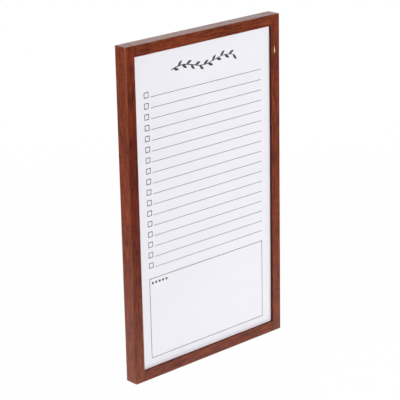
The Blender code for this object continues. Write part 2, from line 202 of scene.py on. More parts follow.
def straight(begin, end, count):
    """Points at even steps from begin towards end, leaving out the end."""
    return np.linspace(begin, end, count, endpoint=False)


def quarter_round(centre, radius, begin):
    """Points on a quarter circle: its centre plus its radius times cosine and sine."""
    angle = straight(begin, begin + math.pi / 2, ARRIS_STEPS)
    return np.asarray(centre) + radius * np.stack([np.cos(angle), np.sin(angle)], -1)


def moulding_section(rebated):
    """The closed outline with the rebate, or whole: inwards from the outer side, back from the face."""
    r, inner, face, deep = ARRIS_RADIUS, INNER_ARRIS_RADIUS, RAIL_FACE, RAIL_DEPTH
    step = (LAND, LIP_DEPTH) if rebated else (face, deep)
    return np.concatenate([
        straight((0, deep - r), (0, r), SIDE_STEPS),
        quarter_round((r, r), r, math.pi),
        straight((r, 0), (face - inner, 0), FACE_STEPS),
        quarter_round((face - inner, inner), inner, 1.5 * math.pi),
        straight((face, inner), (face, LIP_DEPTH), LIP_STEPS),
        straight((face, LIP_DEPTH), step, REBATE_STEPS),
        straight(step, (LAND, deep), BACK_STEPS),
        straight((LAND, deep), (r, deep), BACK_STEPS),
        quarter_round((r, deep - r), r, 0.5 * math.pi),
    ])


def even_places(reach, gouge_at):
    """Places along a rail at even steps to either side, closer together round the gouge if it has one."""
    places = reach * np.linspace(-1, 1, ALONG_STEPS)
    if gouge_at is None:
        return places
    coarse = places[np.abs(places - gouge_at) > GOUGE_REACH]
    fine = np.linspace(gouge_at - GOUGE_REACH, gouge_at + GOUGE_REACH, GOUGE_STEPS)
    return np.sort(np.concatenate([coarse, fine]))


def stile_rows(half, places):
    """A stile's places with its ends added, how far each is drawn in, and which have the whole section.

    An end's edge is a quarter circle: place = half length - radius * (1 - sine), drawn in by
    radius * (1 - cosine). Two rings on the end grain follow.
    """
    turn = np.linspace(0, math.pi / 2, END_ARRIS_ROWS)
    flat = straight(half - LAND, half - ARRIS_RADIUS, END_STEPS)
    ends = np.concatenate([flat, half - ARRIS_RADIUS * (1 - np.sin(turn)), [half] * len(END_RINGS)])
    end_inset = np.concatenate([0 * flat, ARRIS_RADIUS * (1 - np.cos(turn)), END_RINGS])
    whole_end = np.ones(len(ends), bool)
    places_with_ends = np.concatenate([-ends[::-1], places, ends])
    drawn_in = np.concatenate([end_inset[::-1], 0 * places, end_inset])
    whole = np.concatenate([whole_end, np.zeros(len(places), bool), whole_end])
    return places_with_ends, drawn_in, whole


def rail_rows(half, places):
    """A rail's places with closer ones at its joints; none is drawn in, and all have the rebate."""
    near = half - np.array(JOINT_ROWS)
    places = np.sort(np.concatenate([places, near, -near]))
    return places, 0 * places, np.zeros(len(places), bool)


def slow_wander(along, seed):
    """A smooth curve between 0 and 1: a half plus a sixth of the sum of three sines of unlike lengths."""
    phases = np.random.default_rng(seed).uniform(0, 2 * math.pi, len(WEAR_AND_HIGHLIGHT_WAVELENGTHS))
    waves = [np.sin(2 * math.pi * along / w + p) for w, p in zip(WEAR_AND_HIGHLIGHT_WAVELENGTHS, phases)]
    return 0.5 + sum(waves) / 6


def wear_and_highlight_share(name, u, v, run, half, gouge_at, seed):
    """How far the finish is rubbed away at a point, with a painted highlight in it, as a share; knocked
    corners go past 1.

    Each place fades as exp(-(distance / width)^2): along the edges, times a slow wander, as worn stain
    mixed with a painted highlight; at the stiles' corners; down from the left stile's top, as a painted
    highlight; and in a spot beside the right stile's gouge.
    """
    to_end = half - np.abs(run)
    distances = [np.hypot(u - x, v - y) for x, y in ((0, 0), (RAIL_FACE, 0), (0, RAIL_DEPTH))]
    if name.endswith("stile"):
        distances += [np.hypot(u, to_end), np.hypot(v, to_end)]
    # Along the edges: worn stain mixed with a painted highlight
    wear_and_highlight = np.exp(-(np.min(distances, axis=0) / ARRIS_WEAR_AND_HIGHLIGHT_WIDTH) ** 2) * slow_wander(run, seed)
    # The left stile has a painted highlight down its front outer arris from the top
    if name == "left_stile":
        top_highlight = np.exp(-(np.hypot(u, v) / TOP_HIGHLIGHT_WIDTH) ** 2 - ((half - run) / TOP_HIGHLIGHT_REACH) ** 2)
        wear_and_highlight = np.maximum(wear_and_highlight, top_highlight)
    if name.endswith("stile"):
        knocked = np.exp(-(u ** 2 + v ** 2 + to_end ** 2) / KNOCK_SIZE ** 2)
        wear_and_highlight = np.maximum(wear_and_highlight, KNOCK_SHARE * knocked)
    if name == "right_stile":
        away = np.hypot(u - RUBBED_INSET, run - gouge_at + RUBBED_SIZE)
        wear_and_highlight = np.maximum(wear_and_highlight, (v < ARRIS_RADIUS) * np.exp(-(away / RUBBED_SIZE) ** 2))
    return wear_and_highlight


def gouge_shape(inset, rise):
    """How deep the gouge is, as a share: the root of 1 - (across / half width)^2, shallower upwards.

    Its half width follows a skewed sine along its length, times a taper, so it is widest low down.
    """
    share = np.clip(rise / GOUGE_LENGTH + 0.5, 0, 1)
    half_width = 0.5 * GOUGE_WIDTH * np.sin(math.pi * share ** GOUGE_SKEW) * (1 - GOUGE_TAPER * share)
    across = (inset - GOUGE_INSET) / np.maximum(half_width, 1e-5)
    return np.sqrt(np.clip(1 - across ** 2, 0, 1)) * np.clip(GOUGE_FADE - share, GOUGE_LEAST_SHARE, 1)


def soaked_share(name, v, run, half):
    """How much more stain the wood took, as a share.

    End grain soaks it up, a rail's ends draw it in as exp(-(distance / width)^2), and a long stretch of
    the left stile's front has more of it.
    """
    to_end = half - np.abs(run)
    if name.endswith("stile"):
        soaked = END_GRAIN_SOAK * (to_end < 0.5 * ARRIS_RADIUS)
    else:
        soaked = np.exp(-(to_end / JOINT_STAIN_WIDTH) ** 2)
    if name == "left_stile":
        stretch = np.exp(-((run - SOAKED_LIFT) / SOAKED_REACH) ** 2) * (v < ARRIS_RADIUS)
        soaked = np.maximum(soaked, stretch)
    return soaked


def build_rail(name, outer, inward, along, length, material, seed):
    """The section drawn along the rail: place = outer + inward * inset + along * run, y = front + depth.

    outer is the middle of the rail's outer edge (x, z); inward and along are unit directions (x, z).
    """
    is_stile = name.endswith("stile")
    half = length / 2 - (0 if is_stile else JOINT_GAP)
    gouge_at = cad_high.z - GOUGE_DROP - outer[1] if name == "right_stile" else None
    places = even_places(half - LAND if is_stile else half, gouge_at)
    places, drawn_in, whole = (stile_rows if is_stile else rail_rows)(half, places)
    section = np.where(whole[:, None, None], moulding_section(False), moulding_section(True))
    u = np.clip(section[..., 0], drawn_in[:, None], RAIL_FACE - drawn_in[:, None])
    v = np.clip(section[..., 1], drawn_in[:, None], RAIL_DEPTH - drawn_in[:, None])
    run = np.broadcast_to(places[:, None], u.shape)

    wear_and_highlight = wear_and_highlight_share(name, u, v, run, half, gouge_at, seed)
    eased = EASING_DEPTH * wear_and_highlight
    u = u + eased * np.sign(RAIL_FACE / 2 - u)
    v = v + eased * np.sign(RAIL_DEPTH / 2 - v)
    bare = np.zeros_like(run)
    if name == "right_stile":
        bare = gouge_shape(u, run - gouge_at) * (v < ARRIS_RADIUS)
        v = v + GOUGE_DEPTH * bare
    x = outer[0] + inward[0] * u + along[0] * run
    y = cad_low.y + v
    z = outer[1] + inward[1] * u + along[1] * run

    piece = make_piece(
        name + "_wood", np.stack([x, y, z], -1), tube_faces(*run.shape), material,
        {
            "grain": ("FLOAT_VECTOR", "vector", np.stack([u, v, run + GRAIN_SHIFT * seed], -1)),
            "wear_and_highlight": ("FLOAT", "value", wear_and_highlight),
            "bare": ("FLOAT", "value", bare),
            "soaked": ("FLOAT", "value", soaked_share(name, v, run, half)),
            "thin_lacquer": ("FLOAT", "value", np.full(run.shape, float(name == "bottom_rail"))),
            "rebated": ("FLOAT", "value", np.broadcast_to(~whole[:, None], run.shape)),
        },
    )
    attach(piece, "root")
    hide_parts(name)


def stained_hardwood():
    """Interlocked-grain hardwood with a red-brown stain and a thin satin lacquer.

    The stain gives streaks of orange-brown and dark red a few millimetres wide, crossed by the ripple of
    the interlocked grain, with dark pores in them. The fibres are drawn at 2 mm, so that they show.
    """
    material, tree, shader = begin_material("stained_hardwood")
    grain = add(tree, "ShaderNodeAttribute", attribute_name="grain").outputs["Vector"]
    wear_and_highlight = add(tree, "ShaderNodeAttribute", attribute_name="wear_and_highlight").outputs["Fac"]
    bare = add(tree, "ShaderNodeAttribute", attribute_name="bare").outputs["Fac"]
    soaked = add(tree, "ShaderNodeAttribute", attribute_name="soaked").outputs["Fac"]
    thin_lacquer = add(tree, "ShaderNodeAttribute", attribute_name="thin_lacquer").outputs["Fac"]
    rebated = add(tree, "ShaderNodeAttribute", attribute_name="rebated").outputs["Fac"]

    # Each pattern's width and length are in metres, across and along the grain
    patterns = {}
    for label, width, length, detail, distortion in (
        ("drift", 0.0600, 0.160, 0.0, 0.0),
        ("figure", 0.0060, 0.060, 3.0, 0.9),
        ("fibre", 0.0022, 0.025, 3.0, 0.3),
        ("ripple", 0.0150, 0.0052, 2.0, 0.7),
        ("warmth", 0.0050, 0.0240, 2.0, 0.5),
        ("pore", 0.00040, 0.0040, 1.0, 0.0),
    ):
        scaled = add(tree, "ShaderNodeVectorMath", {
            0: grain, 1: (1 / width, 1 / width, 1 / length),
        }, operation="MULTIPLY")
        noise = add(tree, "ShaderNodeTexNoise", {
            "Vector": scaled.outputs[0], "Scale": 1.0, "Detail": detail, "Distortion": distortion,
        })
        patterns[label] = noise.outputs["Fac"]

    # The stain: dark to light by the mixed patterns, and redder or more orange by patches
    tone = patterns["figure"]
    for label, share in (("ripple", 0.34), ("fibre", 0.52), ("drift", 0.12)):
        mixed = add(tree, "ShaderNodeMix", {0: share, 2: tone, 3: patterns[label]}, data_type="FLOAT")
        tone = mixed.outputs[0]
    spread = add(tree, "ShaderNodeMapRange", {
        "Value": tone, "From Min": 0.40, "From Max": 0.59,
    }).outputs[0]
    warm = add(tree, "ShaderNodeMapRange", {
        "Value": patterns["warmth"], "From Min": 0.40, "From Max": 0.60,
    }).outputs[0]
    red = add(tree, "ShaderNodeMix", {
        0: spread, 6: linear("#461409"), 7: linear("#81341F"),
    }, data_type="RGBA")
    orange = add(tree, "ShaderNodeMix", {
        0: spread, 6: linear("#4B1A09"), 7: linear("#873F1C"),
    }, data_type="RGBA")
    stain = add(tree, "ShaderNodeMix", {0: warm, 6: red.outputs[2], 7: orange.outputs[2]}, data_type="RGBA")
    stain = add(tree, "ShaderNodeMix", {
        0: soaked, 6: stain.outputs[2], 7: linear("#D9AF8B"),
    }, data_type="RGBA", blend_type="MULTIPLY")

    # Dark pores, and a lighter colour along the edges: stain rubbed thin there, mixed with a painted
    # highlight
    pores = add(tree, "ShaderNodeMapRange", {"Value": patterns["pore"], "From Min": 0.60, "From Max": 0.70})
    pore_share = add(tree, "ShaderNodeMath", {0: pores.outputs[0], 1: PORE_SHARE}, operation="MULTIPLY")
    pored = add(tree, "ShaderNodeMix", {
        0: pore_share.outputs[0], 6: stain.outputs[2], 7: linear("#2C0E08"),
    }, data_type="RGBA")
    rubbed_and_highlit = add(tree, "ShaderNodeMath", {0: wear_and_highlight, 1: WEAR_AND_HIGHLIGHT_SHARE}, operation="MULTIPLY")
    edged = add(tree, "ShaderNodeMix", {
        0: rubbed_and_highlit.outputs[0], 6: pored.outputs[2], 7: linear("#A86A4C"),
    }, data_type="RGBA")

    # Painted shade over the lip's inner side, from just behind the front down to the sheet
    place = add(tree, "ShaderNodeSeparateXYZ", {0: grain})
    recessed = add(tree, "ShaderNodeMapRange", {
        "Value": place.outputs[1], "From Min": RECESS_SHADE_START, "From Max": RECESS_SHADE_INSET,
    })
    inner = add(tree, "ShaderNodeMath", {
        0: place.outputs[0], 1: RAIL_FACE - RECESS_SHADE_INSET,
    }, operation="GREATER_THAN")
    recess_shade = add(tree, "ShaderNodeMath", {
        0: recessed.outputs[0], 1: inner.outputs[0],
    }, operation="MULTIPLY")
    recess_shade_share = add(tree, "ShaderNodeMath", {0: recess_shade.outputs[0], 1: RECESS_SHADE_SHARE}, operation="MULTIPLY")
    stained_and_shaded = add(tree, "ShaderNodeMix", {
        0: recess_shade_share.outputs[0], 6: edged.outputs[2], 7: linear("#420A08"),
    }, data_type="RGBA")

    # Raw wood in the rebate, up to the ragged edge of what ran in from the back, and in the gouge
    behind_lip = add(tree, "ShaderNodeMath", {
        0: place.outputs[1], 1: LIP_DEPTH - EDGE_SLACK,
    }, operation="GREATER_THAN")
    inside_land = add(tree, "ShaderNodeMath", {
        0: place.outputs[0], 1: LAND - EDGE_SLACK,
    }, operation="GREATER_THAN")
    in_rebate = add(tree, "ShaderNodeMath", {
        0: behind_lip.outputs[0], 1: inside_land.outputs[0],
    }, operation="MULTIPLY")
    ragged = add(tree, "ShaderNodeMath", {
        0: patterns["ripple"], 1: RAW_EDGE_SWAY,
    }, operation="MULTIPLY")
    stain_reach = add(tree, "ShaderNodeMath", {
        0: RAIL_DEPTH - RAW_EDGE, 1: ragged.outputs[0],
    }, operation="ADD")
    unstained = add(tree, "ShaderNodeMath", {
        0: place.outputs[1], 1: stain_reach.outputs[0],
    }, operation="LESS_THAN")
    bare_rebate = add(tree, "ShaderNodeMath", {0: in_rebate.outputs[0], 1: rebated}, operation="MULTIPLY")
    raw = add(tree, "ShaderNodeMath", {
        0: bare_rebate.outputs[0], 1: unstained.outputs[0],
    }, operation="MULTIPLY")
    torn = add(tree, "ShaderNodeMapRange", {"Value": bare, "From Min": 0.10, "From Max": 0.35})
    raw_or_torn = add(tree, "ShaderNodeMath", {
        0: raw.outputs[0], 1: torn.outputs[0],
    }, operation="MAXIMUM")
    raw_wood = add(tree, "ShaderNodeMix", {
        0: spread, 6: linear("#C89F7A"), 7: linear("#ECD6BC"),
    }, data_type="RGBA")
    coloured = add(tree, "ShaderNodeMix", {
        0: raw_or_torn.outputs[0], 6: stained_and_shaded.outputs[2], 7: raw_wood.outputs[2],
    }, data_type="RGBA")

    # The lacquer's sheen, duller on the bottom rail, and the relief of fibres and pores
    lacquered = add(tree, "ShaderNodeMapRange", {
        "Value": patterns["fibre"], "From Min": 0.3, "From Max": 0.7, "To Min": 0.28, "To Max": 0.40,
    })
    duller = add(tree, "ShaderNodeMath", {0: thin_lacquer, 1: THIN_LACQUER_DULLNESS}, operation="MULTIPLY")
    finished = add(tree, "ShaderNodeMath", {
        0: lacquered.outputs[0], 1: duller.outputs[0],
    }, operation="ADD")
    roughness = add(tree, "ShaderNodeMix", {
        0: raw_or_torn.outputs[0], 2: finished.outputs[0], 3: 0.8,
    }, data_type="FLOAT")
    relief = add(tree, "ShaderNodeMath", {
        0: patterns["fibre"], 1: pores.outputs[0],
    }, operation="SUBTRACT")
    bump = add(tree, "ShaderNodeBump", {
        "Strength": 0.4, "Distance": 0.00015, "Height": relief.outputs[0],
    })
    tree.links.new(coloured.outputs[2], shader.inputs["Base Color"])
    tree.links.new(roughness.outputs[0], shader.inputs["Roughness"])
    tree.links.new(bump.outputs[0], shader.inputs["Normal"])
    shader.inputs["Specular IOR Level"].default_value = 0.09
    return material


hardwood = stained_hardwood()
width, height = cad_high.x - cad_low.x, cad_high.z - cad_low.z
middle = (cad_low.z + cad_high.z) / 2
RAILS = (
    ("left_stile", (cad_low.x, middle), (1, 0), (0, 1), height),
    ("right_stile", (cad_high.x, middle), (-1, 0), (0, 1), height),
    ("top_rail", (0, cad_high.z), (0, -1), (1, 0), width - 2 * RAIL_FACE),
    ("bottom_rail", (0, cad_low.z), (0, 1), (1, 0), width - 2 * RAIL_FACE),
)
for number, (rail, outer_edge, towards_inside, direction, rail_length) in enumerate(RAILS):
    build_rail(rail, outer_edge, towards_inside, direction, rail_length, hardwood, number + 1)


# Writing sheet: 0.6 mm steel with a baked white enamel, held against the lips from behind.
# The enamel is semi-gloss, with the faint orange peel of a sprayed coat and a haze from wiping.

def white_enamel():
    """Sprayed and baked enamel on steel: cool white, semi-gloss, its orange peel about 2 mm across."""
    material, tree, shader = begin_material("white_enamel")
    place = add(tree, "ShaderNodeTexCoord").outputs["Object"]
    peel = add(tree, "ShaderNodeTexNoise", {"Vector": place, "Scale": 480.0, "Detail": 1.0})
    wiped = add(tree, "ShaderNodeVectorMath", {0: place, 1: (4.0, 40.0, 26.0)}, operation="MULTIPLY")
    haze = add(tree, "ShaderNodeTexNoise", {"Vector": wiped.outputs[0], "Scale": 1.0, "Detail": 3.0})
    dulled = add(tree, "ShaderNodeMapRange", {
        "Value": haze.outputs["Fac"], "From Min": 0.3, "From Max": 0.7, "To Min": 0.36, "To Max": 0.44,
    })
    tint = add(tree, "ShaderNodeMix", {
        0: haze.outputs["Fac"], 6: linear("#E8E7ED"), 7: linear("#EDECF2"),
    }, data_type="RGBA")
    bump = add(tree, "ShaderNodeBump", {"Strength": 0.06, "Distance": 0.0002, "Height": peel.outputs["Fac"]})
    tree.links.new(tint.outputs[2], shader.inputs["Base Color"])
    tree.links.new(dulled.outputs[0], shader.inputs["Roughness"])
    tree.links.new(bump.outputs[0], shader.inputs["Normal"])
    shader.inputs["Specular IOR Level"].default_value = 0.12
    return material


def dress(node, material):
    """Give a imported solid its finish."""
    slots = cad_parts[node].data.materials
    slots.clear()
    slots.append(material)


dress("writing_sheet", white_enamel())
sheet_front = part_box("writing_sheet")[0].y


# Print: dark grey ink screened on the enamel, thin enough that only its edge catches the light.
# A list of ruled lines with a check box each, a sprig over them, and a box for notes with a row of dots.

INK_THICKNESS = 0.00006
INK_OFFSET = 0.00001
CHECK_BOX_STROKE = 0.0014
BORDER_STROKE = 0.0012
SPRIG_WAVES = 1.5
SPRIG_RISE = 0.0045
SPRIG_LENGTH = 0.150
STEM_STROKE = 0.0020
STEM_TAPER = 0.45
STEM_STEPS = 121
LEAF_COUNT = 15
LEAF_LENGTH = 0.0135
LEAF_WIDTH = 0.0050
LEAF_ANGLE = 0.65
LEAF_BEND = 0.35
LEAF_STEPS = 15
LEAF_TIPS = (0.02, 0.985)
LEAF_FULLNESS = 0.9
DOT_COUNT = 5
DOT_RADIUS = 0.0024
DOT_HOLE = 0.01
DOT_SIDES = 20
DOT_PITCH = 0.0080
DOT_INSET = 0.0075
DOT_DROP = 0.0092


def screen_ink():
    """Matt screen ink: dark grey, slightly uneven where the mesh let less of it through."""
    material, tree, shader = begin_material("screen_ink")
    place = add(tree, "ShaderNodeTexCoord").outputs["Object"]
    grainy = add(tree, "ShaderNodeTexNoise", {"Vector": place, "Scale": 900.0, "Detail": 2.0})
    tint = add(tree, "ShaderNodeMix", {
        0: grainy.outputs["Fac"], 6: linear("#201F23"), 7: linear("#38373B"),
    }, data_type="RGBA")
    tree.links.new(tint.outputs[2], shader.inputs["Base Color"])
    shader.inputs["Roughness"].default_value = 0.45
    return material


def stroke(path, widths, closed, start):
    """An ink stroke along a path (x, z): at each point its edges lie half a width to either side.

    The side direction is the mean of the normals of the two runs that meet there, lengthened by one over
    the cosine of half their angle, so that corners stay square. The section is a low trapezium.
    Returns the points and the faces, whose numbers begin at start.
    """
    path = np.asarray(path, float)
    runs = np.roll(path, -1, 0) - path
    runs /= np.linalg.norm(runs, axis=1, keepdims=True)
    before, after = np.roll(runs, 1, 0), runs.copy()
    if not closed:
        before[0], after[-1] = after[0], before[-1]
    normals = [np.stack([-d[:, 1], d[:, 0]], -1) for d in (before, after)]
    side = normals[0] + normals[1]
    side /= 0.5 * (side ** 2).sum(1, keepdims=True)
    half = 0.5 * np.broadcast_to(widths, len(path))[:, None]
    across = np.array([-1.0, -0.9, 0.9, 1.0])
    raised = np.array([0.0, 1.0, 1.0, 0.0])
    flat = path[:, None, :] + across[None, :, None] * half[:, :, None] * side[:, None, :]
    y = np.broadcast_to(sheet_front - INK_OFFSET - INK_THICKNESS * raised, flat.shape[:2])
    points = np.stack([flat[..., 0], y, flat[..., 1]], -1)
    rows = len(path)
    if closed:
        points = np.concatenate([points, points[:1]])
        rows += 1
    return points.reshape(-1, 3), tube_faces(rows, 4, start, capped=not closed)


def build_print(name, strokes, stands_for):
    """Several strokes (path, widths, closed) as one piece of print."""
    points, faces, start = [], [], 0
    for path, widths, closed in strokes:
        made, joined = stroke(path, widths, closed, start)
        points.append(made)
        faces += joined
        start += len(made)
    piece = make_piece(name, np.concatenate(points), faces, ink, smooth=False)
    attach(piece, "root")
    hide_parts(*stands_for)


def box_path(node, line_width):
    """The middle of a square or oblong border, as four corners."""
    low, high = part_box(node)
    left, right = low.x + line_width / 2, high.x - line_width / 2
    bottom, top = low.z + line_width / 2, high.z - line_width / 2
    return [(left, bottom), (right, bottom), (right, top), (left, top)]


def stem_at(share):
    """Points on the stem and the directions there: a sine wave along X."""
    phase = 2 * math.pi * SPRIG_WAVES * share
    slope = 2 * math.pi * SPRIG_WAVES * SPRIG_RISE * np.cos(phase) / SPRIG_LENGTH
    points = np.stack([SPRIG_LENGTH * (share - 0.5), SPRIG_RISE * np.sin(phase)], -1)
    return points, np.arctan(slope)


def leaf_stroke(share, side):
    """A leaf along a midrib that bends a little back to the stem; its width is a sine along its length."""
    root, heading = stem_at(np.array([share]))
    along = np.linspace(0, 1, LEAF_STEPS)
    angle = heading[0] + side * LEAF_ANGLE * (1 - LEAF_BEND * along)
    steps = np.stack([np.cos(angle), np.sin(angle)], -1) * LEAF_LENGTH / (len(along) - 1)
    path = root[0] + np.concatenate([[(0, 0)], np.cumsum(steps[:-1], 0)])
    widths = LEAF_WIDTH * np.sin(math.pi * np.clip(along, *LEAF_TIPS)) ** LEAF_FULLNESS
    return path, widths, False


ink = screen_ink()
LINES = sorted(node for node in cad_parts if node.startswith("ruled_line"))
BOXES = sorted(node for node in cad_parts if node.startswith("check_box"))

ruled = []
for line in LINES:
    low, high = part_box(line)
    level = (low.z + high.z) / 2
    ruled.append(([(low.x, level), (high.x, level)], high.z - low.z, False))
build_print("ruled_lines", ruled, LINES)
squares = [(box_path(box, CHECK_BOX_STROKE), CHECK_BOX_STROKE, True) for box in BOXES]
build_print("check_boxes", squares, BOXES)
build_print("notes_box", [(box_path("notes_border", BORDER_STROKE), BORDER_STROKE, True)], ["notes_border"])

sprig_low, sprig_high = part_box("sprig")
sprig_centre = np.array([0.0, (sprig_low.z + sprig_high.z) / 2])
along_stem = np.linspace(0, 1, STEM_STEPS)
stem_path = stem_at(along_stem)[0]
sprig_strokes = [(stem_path, STEM_STROKE * (1 - STEM_TAPER * along_stem), False)]
sprig_strokes += [leaf_stroke((leaf + 0.5) / LEAF_COUNT, 1 if leaf % 2 else -1) for leaf in range(LEAF_COUNT)]
build_print("sprig_print", [(path + sprig_centre, w, closed) for path, w, closed in sprig_strokes], ["sprig"])

notes_low, notes_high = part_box("notes_border")
# Each dot is one closed stroke round a middle hole that is too small to show
turns = 2 * math.pi * np.arange(DOT_SIDES) / DOT_SIDES
ring = DOT_RADIUS * (1 + DOT_HOLE) / 2 * np.stack([np.cos(turns), np.sin(turns)], -1)
dots = []
for dot in range(DOT_COUNT):
    centre = np.array([notes_low.x + DOT_INSET + dot * DOT_PITCH, notes_high.z - DOT_DROP])
    dots.append((centre + ring, DOT_RADIUS * (1 - DOT_HOLE), True))
build_print("notes_dots", dots, [])


# Back panel: 3 mm hardboard pressed from brown wood fibre, matt, with its fibres and specks showing.
# It stiffens the sheet and lies loose in the rebate, kept in by the glazing points.

def hardboard():
    """Pressed wood fibre: brown and matt, with short fibres a few millimetres long and dark specks."""
    material, tree, shader = begin_material("hardboard")
    place = add(tree, "ShaderNodeTexCoord").outputs["Object"]
    fibre = add(tree, "ShaderNodeTexNoise", {
        "Vector": place, "Scale": 420.0, "Detail": 6.0, "Distortion": 1.6,
    })
    cloud = add(tree, "ShaderNodeTexNoise", {"Vector": place, "Scale": 22.0, "Detail": 5.0})
    speck = add(tree, "ShaderNodeTexNoise", {"Vector": place, "Scale": 900.0, "Detail": 0.0})
    mixed = add(tree, "ShaderNodeMix", {
        0: 0.2, 2: fibre.outputs["Fac"], 3: cloud.outputs["Fac"],
    }, data_type="FLOAT")
    spread = add(tree, "ShaderNodeMapRange", {"Value": mixed.outputs[0], "From Min": 0.35, "From Max": 0.65})
    brown = add(tree, "ShaderNodeMix", {
        0: spread.outputs[0], 6: linear("#6B4A31"), 7: linear("#94704C"),
    }, data_type="RGBA")
    specks = add(tree, "ShaderNodeMapRange", {
        "Value": speck.outputs["Fac"], "From Min": 0.68, "From Max": 0.74,
    })
    speckled = add(tree, "ShaderNodeMix", {
        0: specks.outputs[0], 6: brown.outputs[2], 7: linear("#3C281A"),
    }, data_type="RGBA")
    bump = add(tree, "ShaderNodeBump", {"Strength": 0.5, "Distance": 0.0002, "Height": fibre.outputs["Fac"]})
    tree.links.new(speckled.outputs[2], shader.inputs["Base Color"])
    tree.links.new(bump.outputs[0], shader.inputs["Normal"])
    shader.inputs["Roughness"].default_value = 0.78
    shader.inputs["Specular IOR Level"].default_value = 0.3
    return material


dress("backing_board", hardboard())


# Fittings: the hanger and its nails, the glazing points and the corrugated corner nails are of mild steel
# plated with bright zinc. Two moulded rubber bumpers are stuck to the stiles' backs.

BUMPER_ROUND = 0.0012
BUMPER_ROUND_STEPS = 9
BUMPER_SEAT_GAP = 0.0003
TURNED_SIDES = 48
CORNER_NAIL_FOLDS = 5
CORNER_NAIL_SWAY = 0.0006
CORNER_NAIL_THICKNESS = 0.0006
CORNER_NAIL_PROUD = 0.00006


def zinc_plate():
    """Bright zinc on steel: pale blue-grey metal with small spangles and fine rolling lines."""
    material, tree, shader = begin_material("zinc_plate")
    place = add(tree, "ShaderNodeTexCoord").outputs["Object"]
    spangle = add(tree, "ShaderNodeTexVoronoi", {"Vector": place, "Scale": 700.0})
    rolled = add(tree, "ShaderNodeVectorMath", {0: place, 1: (300.0, 3000.0, 6000.0)}, operation="MULTIPLY")
    lines = add(tree, "ShaderNodeTexNoise", {"Vector": rolled.outputs[0], "Scale": 1.0, "Detail": 2.0})
    tone = add(tree, "ShaderNodeSeparateColor", {0: spangle.outputs["Color"]})
    tint = add(tree, "ShaderNodeMix", {
        0: tone.outputs[0], 6: linear("#A9AEB3"), 7: linear("#C6CACE"),
    }, data_type="RGBA")
    dulled = add(tree, "ShaderNodeMapRange", {"Value": lines.outputs["Fac"], "To Min": 0.26, "To Max": 0.46})
    bump = add(tree, "ShaderNodeBump", {"Strength": 0.2, "Distance": 0.00005, "Height": lines.outputs["Fac"]})
    tree.links.new(tint.outputs[2], shader.inputs["Base Color"])
    tree.links.new(dulled.outputs[0], shader.inputs["Roughness"])
    tree.links.new(bump.outputs[0], shader.inputs["Normal"])
    shader.inputs["Metallic"].default_value = 1.0
    return material


def grey_rubber():
    """Moulded rubber: dark grey and matt, with a fine dusty grain."""
    material, tree, shader = begin_material("grey_rubber")
    place = add(tree, "ShaderNodeTexCoord").outputs["Object"]
    dust = add(tree, "ShaderNodeTexNoise", {"Vector": place, "Scale": 1500.0, "Detail": 3.0})
    tint = add(tree, "ShaderNodeMix", {
        0: dust.outputs["Fac"], 6: linear("#3A3A3C"), 7: linear("#57575A"),
    }, data_type="RGBA")
    bump = add(tree, "ShaderNodeBump", {"Strength": 0.3, "Distance": 0.0001, "Height": dust.outputs["Fac"]})
    tree.links.new(tint.outputs[2], shader.inputs["Base Color"])
    tree.links.new(bump.outputs[0], shader.inputs["Normal"])
    shader.inputs["Roughness"].default_value = 0.62
    return material


def build_bumper(node, material):
    """A profile turned about an axis along Y: each point is centre plus radius times cosine and sine."""
    low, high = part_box(node)
    centre_x, centre_z = (low.x + high.x) / 2, (low.z + high.z) / 2
    radius = (high.x - low.x) / 2
    angle = np.linspace(0, math.pi / 2, BUMPER_ROUND_STEPS)
    rim = radius - BUMPER_ROUND * (1 - np.cos(angle))
    back = high.y - BUMPER_ROUND * (1 - np.sin(angle))
    profile = np.concatenate([[(radius, low.y - BUMPER_SEAT_GAP)], np.stack([rim, back], -1)])
    turn = 2 * math.pi * np.arange(TURNED_SIDES) / TURNED_SIDES
    x = centre_x + profile[:, :1] * np.cos(turn)
    z = centre_z + profile[:, :1] * np.sin(turn)
    y = np.broadcast_to(profile[:, 1:], x.shape)
    piece = make_piece(node + "_pad", np.stack([x, y, z], -1), tube_faces(*x.shape), material)
    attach(piece, "root")
    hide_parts(node)


def build_corner_nail(node, material):
    """A strip along X whose folds lie one sway above and below its middle by turns, flush with the wood."""
    low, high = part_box(node)
    x = np.linspace(low.x, high.x, CORNER_NAIL_FOLDS + 1)
    slope = 2 * CORNER_NAIL_SWAY * CORNER_NAIL_FOLDS / (high.x - low.x)
    half = 0.5 * CORNER_NAIL_THICKNESS * math.hypot(1, slope)
    middle_z = (low.z + high.z) / 2 + CORNER_NAIL_SWAY * (-1.0) ** np.arange(CORNER_NAIL_FOLDS + 1)
    back = cad_low.y + RAIL_DEPTH + CORNER_NAIL_PROUD
    y = np.array([low.y, back, back, low.y])
    z = middle_z[:, None] + half * np.array([-1.0, -1.0, 1.0, 1.0])
    points = np.stack(np.broadcast_arrays(x[:, None], y, z), -1)
    piece = make_piece(node + "_strip", points, tube_faces(len(x), 4), material)
    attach(piece, "root")
    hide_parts(node)


plated = zinc_plate()
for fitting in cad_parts:
    if fitting.startswith(("sawtooth", "hanger_nail", "glazing_point")):
        dress(fitting, plated)
    if fitting.startswith("corner_nail"):
        build_corner_nail(fitting, plated)
rubber = grey_rubber()
for pad in ("bumper_left", "bumper_right"):
    build_bumper(pad, rubber)


# Studio: a pale floor below the hung board, white surroundings and soft lamps all round. The floor shows as
# white, with the board's shadow left in it. Pale cards that show only in the gloss put the sheen on the
# frame's top and lower parts, and the lamps are kept out of the gloss.

FLOOR_DROP = 0.90
FLOOR_SIZE = 30.0
AMBIENT_STRENGTH = 0.16


